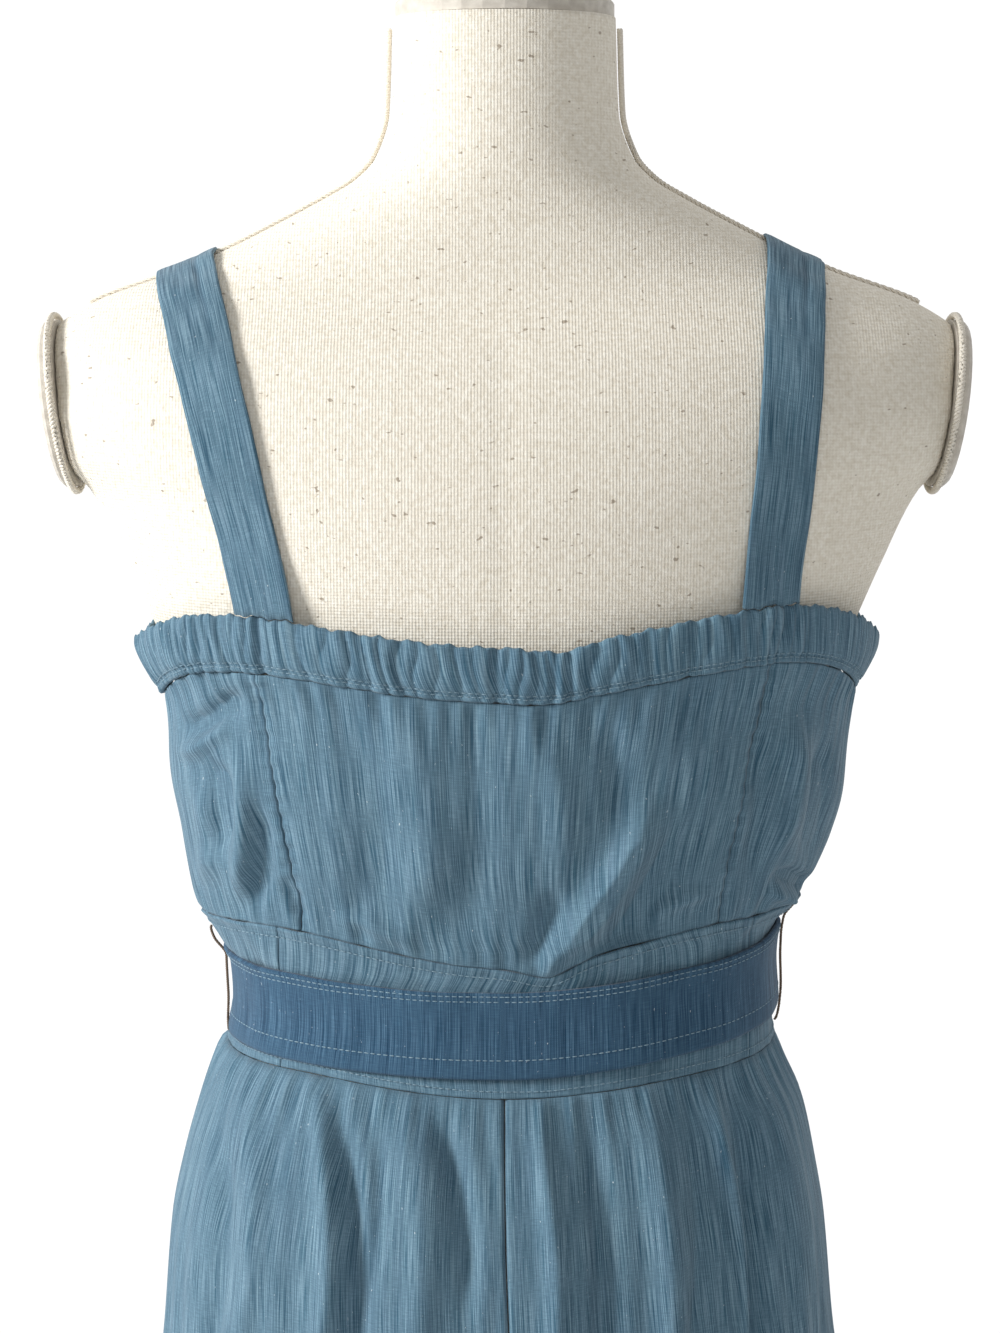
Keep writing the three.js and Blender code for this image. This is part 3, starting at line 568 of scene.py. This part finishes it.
def bandHigh(turn):
    dip = -3.2 * np.exp(-((wrap(turn) - 8) / 4.5) ** 2)
    ripple = 0.5 * np.sin(wrap(turn) * 1.3) + 0.35 * np.sin(wrap(turn) * 3.1 + 1)
    return read(bandTable, 2, wrap(turn)) + dip + ripple


def waistLow(turn):
    return read(waistTable, 1, wrap(turn))


def waistHigh(turn):
    dip = -5.5 * np.exp(-((wrap(turn) - 9) / 6) ** 2)
    return read(waistTable, 2, wrap(turn)) + dip


def beltMiddle(turn):
    return read(waistTable, 3, wrap(turn))


# Moves each point along its normal by the rise.
def relieve(points, rise):
    return points + gridNormals(points) * rise[..., None]


# Seams pull the cloth in along their line and pucker it finely beside them.
def seamPull(turn, z, seamTurns, depth=1.1):
    rise = 0 * z
    for seam in seamTurns:
        away = (turn - seam(z)) / 1.7
        rise -= depth * np.exp(-away ** 2) * (1 + 0.4 * np.sin(z * 0.9) + 0.25 * np.sin(z * 0.37 + 1))
    return rise


# Bodice panels: creases, fine gathers that deepen at both edges, soft waves, and seams pulled in.
def buildBodice():
    left, right = seamTurn(1), seamTurn(2)
    panels = [("bodice_back_centre", left, right, 170), ("bodice_back_side_l", constant(-90), left, 90),
              ("bodice_back_side_r", right, constant(90), 90),
              ("bodice_front", constant(90), constant(270), 260)]
    for name, fromTurn, toTurn, columns in panels:
        points, turn, z, v = bodyGrid(fromTurn, toTurn, waistHigh, bandLow, columns, bodice["rows"])
        arc = turn * 2.3
        gather = softWaves(arc, z * 0.15, 7, 7, 19, 0.12, 3) * 0.55
        nearEdge = np.exp(-(v / 0.14) ** 2) + np.exp(-((1 - v) / 0.16) ** 2)
        rise = garmentCreases(points) + gather * (0.25 + nearEdge)
        rise += softWaves(points[..., 0], z, 6, 24, 60, 0.7, 5) * 0.55 + seamPull(turn, z, [left, right])
        rise *= smooth(v, -0.02, 0.03) * (1 - smooth(v, 0.97, 1.03))
        points = relieve(points, np.clip(rise, -3.6, 6.5))
        clothPiece(name, points, bodice["thickness"], denim, [name])


# The band's ruching: narrow upright folds at uneven spacing, deeper towards the middle of the back.
band = {"thickness": 1.6, "rows": 26, "lift": 0.6, "spacing": 6.2, "depth": 2.4, "seed": 12}


# Two rows of |sine| folds at unlike spacings along a wavering arc, less a few deep narrow bells.
def ruching(turn, v, spacing, depth, seed):
    arc = wrap(turn) * 2.35
    warp = arc + 2.2 * np.sin(arc / 17) + 1.6 * np.sin(arc / 7.3 + seed) + 1.2 * np.sin(v * 5 + arc / 5)
    fold = np.abs(np.sin(math.pi * warp / spacing)) ** 0.7
    second = np.abs(np.sin(math.pi * (warp + 1.7) / (spacing * 2.7))) ** 0.8
    uneven = 0.7 + 0.3 * np.sin(arc / 11 + seed)
    deep = sum(np.exp(-((arc - place) / 1.6) ** 2) for place in (-3, 17, 22, 64, -88, -131, 101, 106))
    return depth * uneven * (fold * 0.7 + second * 0.7 - 0.5) - 1.6 * deep


# The band: ruching on a section padded as a flattened round, with one stitched groove low down.
def bandSurface(fromTurn, toTurn, columns, depth):
    points, turn, _, v = bodyGrid(fromTurn, toTurn, bandLow, bandHigh, columns, band["rows"], band["lift"])
    padded = np.sqrt(np.clip(1 - (2 * v - 1) ** 4, 0, 1)) * 1.4
    stitched = -0.9 * np.exp(-((v - 0.13) / 0.05) ** 2)
    folds = ruching(turn, v, band["spacing"], depth, band["seed"])
    return relieve(points, folds + padded + stitched - band["lift"])


def buildBands():
    join = joinTurn(128, 2)
    back = bandSurface(constant(-90), join, 620, band["depth"])
    clothPiece("band_back", back, band["thickness"], denim, ["band_back"])
    front = bandSurface(join, constant(270), 560, 0.5)
    clothPiece("band_front", front, band["thickness"], denim, ["band_front"])
    return back, front


strap = {"width": 25, "thickness": 1.6, "lift": 3.0, "columns": 28, "rows": 156}


# The level at which the form's half width is |x|.
def shoulderLevel(x):
    levels = np.linspace(1345, 1421, 400)
    return np.interp(-np.abs(x), -read(formTable, 1, levels), levels)


# A strap: over the shoulder from back to front, x on a sine of the climb and z on its square, lying on the
# form and meeting the band at its foot.
def strapSurface(backEnd, shoulder, frontEnd):
    u = np.linspace(0, 1, strap["columns"])[None, :]
    v = np.linspace(0, 1, strap["rows"])[:, None]
    side = np.where(v < 0.5, -1, 1)
    climb = 1 - np.abs(2 * v - 1)
    end = np.where(side < 0, backEnd, frontEnd)
    x = mix(end, shoulder, np.sin(climb * math.pi / 2)) + (u - 0.5) * strap["width"]
    half = np.where(x < 0, read(garmentTable, 1, 1225 + 0 * x), read(garmentTable, 2, 1225 + 0 * x))
    turn = turnAt(x, half)
    foot = bandHigh(np.where(side < 0, turn, np.sign(x) * 180 - turn)) + bodice["seamGap"]
    drop = (1 - climb) ** 2
    z = mix(shoulderLevel(x), foot, drop)
    near = smooth(drop, 0.62, 1)
    depth = np.where(side < 0, np.abs(formDepth(x, z, -1)), formDepth(x, z, 1))
    share = (1 - np.clip(np.abs(x) / half, 0, 0.999) ** squareness) ** (1 / squareness)
    outer = np.where(side < 0, read(garmentTable, 3, z), read(garmentTable, 4, z)) * share
    points = np.stack([x, side * mix(depth, outer, near), z], -1)
    edge = 0.35 * np.exp(-((u - 0.5) / 0.47) ** 16)
    crease = -0.8 * np.exp(-((u - 0.68) / 0.05) ** 2) * np.exp(-((v - 0.4) / 0.09) ** 2)
    waves = 0.35 * softWaves(u * strap["width"], v * 260, 5, 14, 40, 1.2, 8)
    return relieve(points, strap["lift"] * (1 - near) + 0.8 * near + edge + crease + waves)


def buildStraps():
    for name, ends in (("strap_l", (-101, -139, -96)), ("strap_r", (112, 126, 98))):
        clothPiece(name, strapSurface(*ends), strap["thickness"], denim, [name])


waistband = {"thickness": 1.2, "rows": 50}
belt = {"height": 37, "thickness": 2.0, "lift": 3.4, "columns": 437, "rows": 34}


# Waistband: soft waves, and a piped ridge as a bell along its top edge.
def buildWaistband():
    leftJoin, rightJoin = joinTurn(-98, 1), joinTurn(108, 2)
    pieces = [("waistband_back", leftJoin, rightJoin, 200),
              ("waistband_front", rightJoin, lambda z: leftJoin(z) + 360, 320)]
    for name, fromTurn, toTurn, columns in pieces:
        points, turn, z, v = bodyGrid(fromTurn, toTurn, waistLow, waistHigh, columns, waistband["rows"])
        piped = 0.9 * np.exp(-((1 - v) / 0.035) ** 2)
        rise = 0.35 * softWaves(turn * 2.1, z, 6, 12, 34, 0.5, 21) + piped
        clothPiece(name, relieve(points, rise), waistband["thickness"], denim, [name])


# The belt: the garment's section lifted off it, soft waves, edges turned in and stitch grooves as bells.
def beltSurface():
    v = np.linspace(0, 1, belt["rows"])[:, None]
    turn = wrap(np.linspace(0, 360, belt["columns"] + 1)[None, :])
    z = beltMiddle(turn) + (v - 0.5) * belt["height"]
    wobble = softWaves(turn * 2.1, z * 0.6, 5, 40, 95, 0.5, 31) * 0.55 * smooth(np.abs(turn), -20, 10)
    points = garmentPoint(turn, z, belt["lift"])
    edge = -0.5 * (np.exp(-(v / 0.03) ** 2) + np.exp(-((1 - v) / 0.03) ** 2))
    grooves = sum(-0.35 * np.exp(-((v - place) / 0.012) ** 2) for place in (0.22, 0.9, 0.96))
    return points, np.broadcast_to(wobble + edge + grooves, points.shape[:2]).copy()


def buildBelt():
    points, rise = beltSurface()
    normal = gridNormals(points)
    normal[:, 0] = normal[:, -1] = (normal[:, 0] + normal[:, -1]) / 2
    rise[:, -1] = rise[:, 0]
    points = points + normal * rise[..., None]
    clothPiece("belt", points, belt["thickness"], beltDenim, ["belt"], True)


knot = {"x": 17, "y": 9, "z": 15}


# The middle of the knot, just clear of the belt's front.
def knotMiddle():
    front = garmentPoint(np.array(180.0), beltMiddle(np.array(180.0)), 3.2)
    return np.array([0, float(front[1]) + 0.3 + knot["y"], float(beltMiddle(np.array(180.0)))])


# A knot: an ellipsoid whose size changes by a sine that winds round it.
def buildKnot():
    turn = np.linspace(0, 2 * math.pi, 96, endpoint=False)[None, :]
    tilt = np.linspace(-math.pi / 2 + 0.02, math.pi / 2 - 0.02, 64)[:, None]
    wraps = 0.9 * np.sin(tilt * 5 + np.cos(turn) * 1.3) + 0.4 * np.sin(turn * 5 + tilt * 3)
    size = 0.93 + 0.035 * wraps
    middle = knotMiddle()
    x = knot["x"] * np.cos(tilt) * np.cos(turn) * size
    y = knot["y"] * np.cos(tilt) * np.sin(turn) * size
    z = knot["z"] * np.sin(tilt) * size + 0 * turn
    points = np.stack([x, y, z], -1) + middle
    rings, count = points.shape[:2]
    faces, place = gridFaces(rings, count, True), points[..., [0, 2]]
    made = meshObject("belt_knot", points, faces, place, ringLids(rings, count))
    finishPiece(made, beltDenim, ["belt_knot"])


# Two tails hang from the knot, gathered by a sine at the top and opening to full width.
def buildTails():
    for name, side, length in (("belt_tail_l", -1, 210), ("belt_tail_r", 1, 185)):
        middle = knotMiddle()
        u = np.linspace(0, 1, 28)[None, :]
        v = np.linspace(0, 1, 120)[:, None]
        down = 1 - v
        opened = smooth(down, 0, 0.3)
        x = side * (8 + 13 * opened + 10 * down) - (u - 0.5) * mix(13, belt["height"], opened)
        z = middle[2] - knot["z"] - 0.4 - length * down + 0 * x
        trouser = np.maximum(garmentPoint(np.full(z.shape, 180.0), z)[..., 1], 92) + 11
        y = mix(middle[1], trouser, smooth(down, 0, 0.15))
        gathered = np.sin(u * math.pi * 5) * 1.6 * (1 - smooth(down, 0, 0.4))
        points = np.stack([x, y, z], -1)
        points[..., 1] += gathered + 0.8 * softWaves(x, z, 4, 45, 110, 0.8, 40 + side)
        clothPiece(name, points, belt["thickness"], beltDenim, [name])


# Thread loops at the sides, bowed out over the belt by the root of a sine.
def buildLoops():
    for name, side, top, bottom in (("belt_loop_l", -1, 1078, 1029), ("belt_loop_r", 1, 1089, 1034)):
        z = np.linspace(bottom, top, 60)
        bulge = np.sin(np.linspace(0, math.pi, 60)) ** 0.5
        path = garmentPoint(np.full(60, side * 84.0), z, 0.9)
        path[:, 0] += side * 4.4 * bulge
        made = joinedMesh(name, braidStrands(path, 3.2, 0.32, 0.36, False))
        finishPiece(made, thread, [name])


legFolds = {  # turn, width, height, top
    "left": [(-52, 15, 15, 1000), (-20, 14, -14, 980), (12, 15, 14, 940), (46, 14, -10, 900),
             (132, 15, -10, 900), (168, 16, 14, 940), (204, 15, -12, 960), (238, 14, 12, 1000)],
    "right": [(-44, 14, -10, 900), (-10, 15, 14, 950), (22, 13, -14, 980), (52, 14, 15, 1000),
              (124, 14, 12, 1000), (158, 15, -12, 960), (194, 16, 14, 940), (228, 14, -10, 900)]}
smallFolds = {  # turn, width, height, top: narrower folds between the large ones
    "left": [(-70, 5, -3, 900), (-36, 4, 4, 800), (-4, 5, -4, 860), (28, 5, 5, 760), (60, 4, -3, 640),
             (120, 4, -3, 640), (150, 5, 5, 700), (186, 5, -5, 820), (222, 4, 4, 760), (252, 5, -4, 880)],
    "right": [(-62, 4, 3, 640), (-27, 5, 4, 720), (6, 4, -4, 860), (38, 5, 5, 800), (68, 5, -4, 900),
              (108, 5, -4, 880), (141, 4, 4, 740), (176, 5, -4, 820), (212, 5, 4, 700), (244, 4, -3, 640)]}
hipFolds = [  # x0, z0, x1, z1, height, width
    (-82, 1026, -84, 880, 2.6, 5), (-74, 1022, -73, 860, -2.8, 5), (-30, 1016, -16, 930, -2.6, 5),
    (-16, 930, -15, 820, -2.4, 6), (-44, 1020, -40, 900, 1.6, 8), (-7, 1012, -6, 900, -1.5, 4),
    (13, 1014, 14, 860, 2.4, 5), (33, 1016, 34, 860, -2.8, 7), (60, 1018, 62, 850, 2.6, 7),
    (88, 1026, 92, 840, 3.0, 3), (98, 1024, 102, 840, -3.2, 6), (118, 1012, 126, 860, 1.6, 7),
    (-112, 1016, -122, 880, 1.8, 6), (-126, 1000, -136, 880, -1.8, 5), (76, 1020, 78, 900, -1.3, 4),
    (-58, 1018, -60, 930, -1.2, 4)]
trouser = {"thickness": 1.3, "columns": 133, "rows": 148, "edge": 0.0012, "halfway": 740}


# A trouser panel: a body panel above and half a leg below. The change follows the smooth step at the side
# and a quarter oval, 1 - sqrt(1 - share²), at the middle seam. Folds rise as bells round the leg.
def trouserGrid(side, bodyFrom, legFrom):
    u = mix(trouser["edge"], 1 - trouser["edge"], np.linspace(0, 1, trouser["columns"]))[None, :]
    v = np.linspace(0, 1, trouser["rows"])[:, None]
    bodyTurn = bodyFrom + 90 * u
    legTurn = legFrom + 180 * u
    top = waistLow(bodyTurn) - 0.15
    halfway = trouser["halfway"]
    z = np.where(v < 0.5, mix(hemHeight, halfway, v / 0.5), mix(halfway, top, (v - 0.5) / 0.5))
    share = np.clip((seatHeight - z) / (seatHeight - crotchHeight), 0, 1)
    inner = np.abs(np.cos(np.radians(bodyTurn))) ** 6
    turned = mix(share * share * (3 - 2 * share), 1 - np.sqrt(1 - share * share), inner)[..., None]
    points = mix(garmentPoint(bodyTurn + 0 * z, z), legPoint(side, legTurn + 0 * z, z), turned)
    ux, uy = unitOblong(np.where(turned[..., 0] > 0.5, legTurn, bodyTurn))
    folds = legFolds[side] + smallFolds[side]
    rise = sum(height * smooth(start - z, 0, start - hemHeight) * np.exp(-((legTurn - turn) / width) ** 2)
               for turn, width, height, start in folds)
    points[..., 0] += ux * rise * 0.7
    points[..., 1] += uy * rise
    return points, legTurn + 0 * z, bodyTurn + 0 * z, z


# Panels with gathers that fade below the waist, long waves, and hip folds mirrored in front.
def buildTrousers():
    panels = [("trouser_back_l", "left", -90, -90), ("trouser_back_r", "right", 0, -90),
              ("trouser_front_r", "right", 90, 90), ("trouser_front_l", "left", 180, 90)]
    for name, side, bodyFrom, legFrom in panels:
        points, legTurn, bodyTurn, z = trouserGrid(side, bodyFrom, legFrom)
        arc = bodyTurn * 2.4
        below = waistLow(bodyTurn) - z
        gathers = softWaves(arc, z * 0.05, 8, 7, 22, 0.05, 61) * np.exp(-below / 26) * 1.1
        long = softWaves(legTurn * 1.8, z * 0.03, 6, 22, 60, 0.04, 62) * smooth(below, 0, 200) * 1.2
        x = points[..., 0] * np.where(np.cos(np.radians(bodyTurn)) > 0, 1, -1)
        rise = gathers + long + creaseRise(x, z, hipFolds) * smooth(z, 780, 860)
        fromSeam = np.minimum(np.abs(legTurn - legFrom), np.abs(legTurn - legFrom - 180))
        rise *= smooth(fromSeam, 0, 9) * smooth(below, -1, 5)
        rise -= 0.9 * np.exp(-(fromSeam / 1.0) ** 2) * (1 + 0.3 * np.sin(z * 0.5))
        hem = -0.8 * np.exp(-((z - hemHeight - 18) / 1.6) ** 2)
        points = relieve(points, rise + hem)
        clothPiece(name, points, trouser["thickness"], denim, [name])


stitch = {"length": 2.2, "pitch": 2.9, "radius": 0.24}


# A row of short thread stitches along a path, each a small six-sided spindle.
def stitchRow(path):
    gaps = np.linalg.norm(np.diff(path, axis=0), axis=1)
    along = np.concatenate([[0], np.cumsum(gaps)])
    starts = np.arange(0, along[-1] - stitch["length"], stitch["pitch"])
    a, b = (np.stack([np.interp(s, along, path[:, k]) for k in range(3)], -1)
            for s in (starts, starts + stitch["length"]))
    step = (b - a) / np.linalg.norm(b - a, axis=1, keepdims=True)
    first = np.cross(step, [0.02, 0.03, 1.0])
    first /= np.linalg.norm(first, axis=1, keepdims=True)
    second = np.cross(step, first)
    angle = np.linspace(0, 2 * math.pi, 6, endpoint=False)
    ring = first[:, None] * np.cos(angle)[None, :, None] + second[:, None] * np.sin(angle)[None, :, None]
    spots, sizes = (0, 0.2, 0.8, 1), (0.15, 1, 1, 0.15)
    layers = [mix(a, b, s)[:, None] + ring * stitch["radius"] * k for s, k in zip(spots, sizes)]
    points = np.stack(layers, 1)
    one = gridFaces(4, 6, True)[:, ::-1]
    faces = (one[None] + (np.arange(len(starts)) * 24)[:, None, None]).reshape(-1, 4)
    return points, faces


# One row of a grid, at a share of its height, lifted along the normals.
def rowOn(points, share, lift):
    place = share * (len(points) - 1)
    below = min(int(place), len(points) - 2)
    raised = points + gridNormals(points) * lift
    return mix(raised[below], raised[below + 1], place - below)


# Stitch rows on the band, the waistband and the belt.
def buildStitches(backBand, frontBand):
    rows = [stitchRow(rowOn(grid, share, 0.12)) for grid in (backBand, frontBand) for share in (0.10, 0.17)]
    for share in (0.93, 0.05):
        grid = bodyGrid(constant(-180), constant(180), waistLow, waistHigh, 500, waistband["rows"])[0]
        rows.append(stitchRow(rowOn(grid, share, 0.5)))
    finishPiece(joinedMesh("garment_stitches", rows), paleThread)
    surface = relieve(*beltSurface())
    rows = [stitchRow(rowOn(surface, share, 0.15)) for share in (0.22, 0.9, 0.96)]
    finishPiece(joinedMesh("belt_stitches", rows), paleThread)


studio = {"floorRadius": 1.6, "near": 0.27, "far": 1.05}


# A pale floor disc, surroundings that are white ahead of the camera and dimmer behind it, and two soft lamps.
def buildStudio():
    angle = np.linspace(0, 2 * math.pi, 96, endpoint=False)
    ring = np.stack([np.cos(angle), np.sin(angle), 0 * angle], -1) * studio["floorRadius"]
    mesh = bpy.data.meshes.new("floor")
    mesh.from_pydata(ring.tolist(), [], [list(range(len(angle)))])
    floor = bpy.data.objects.new("floor", mesh)
    bpy.context.scene.collection.objects.link(floor)
    nodes = Nodes("floor", 0.9)
    nodes.shader.inputs["Base Color"].default_value = (0.9, 0.9, 0.9, 1)
    floor.data.materials.append(nodes.material)
    world = bpy.data.worlds.new("studio")
    world.use_nodes = True
    tree = world.node_tree
    background = tree.nodes["Background"]
    background.inputs["Color"].default_value = (1, 1, 1, 1)
    coordinates = tree.nodes.new("ShaderNodeTexCoord")
    parts = tree.nodes.new("ShaderNodeSeparateXYZ")
    fade = tree.nodes.new("ShaderNodeMapRange")
    settings = (("From Min", -0.35), ("From Max", 0.6), ("To Min", studio["near"]), ("To Max", studio["far"]))
    for key, value in settings:
        fade.inputs[key].default_value = value
    tree.links.new(coordinates.outputs["Generated"], parts.inputs["Vector"])
    tree.links.new(parts.outputs["Y"], fade.inputs["Value"])
    tree.links.new(fade.outputs["Result"], background.inputs["Strength"])
    bpy.context.scene.world = world
    bpy.context.scene.view_settings.view_transform = "Standard"
    lights = [("key", (-2.3, -0.85, 1.95), 0.8, 84, (math.radians(70), 0, math.radians(-70))),
              ("fill", (0.2, -2.6, 1.7), 2.2, 17, (math.radians(79), 0, math.radians(4)))]
    for name, place, size, power, turn in lights:
        data = bpy.data.lights.new(name, "AREA")
        data.size = size
        data.energy = power
        lamp = bpy.data.objects.new(name, data)
        lamp.location = place
        lamp.rotation_euler = turn
        bpy.context.scene.collection.objects.link(lamp)


buildForm()
buildTrims()
dressCadNodes()
print("form done")
buildBodice()
bandBack, bandFront = buildBands()
buildStraps()
print("bodice done")
buildWaistband()
buildBelt()
buildKnot()
buildTails()
buildLoops()
print("waist done")
buildTrousers()
print("trousers done")
buildStitches(bandBack, bandFront)
buildStudio()
print("stitches and studio done")
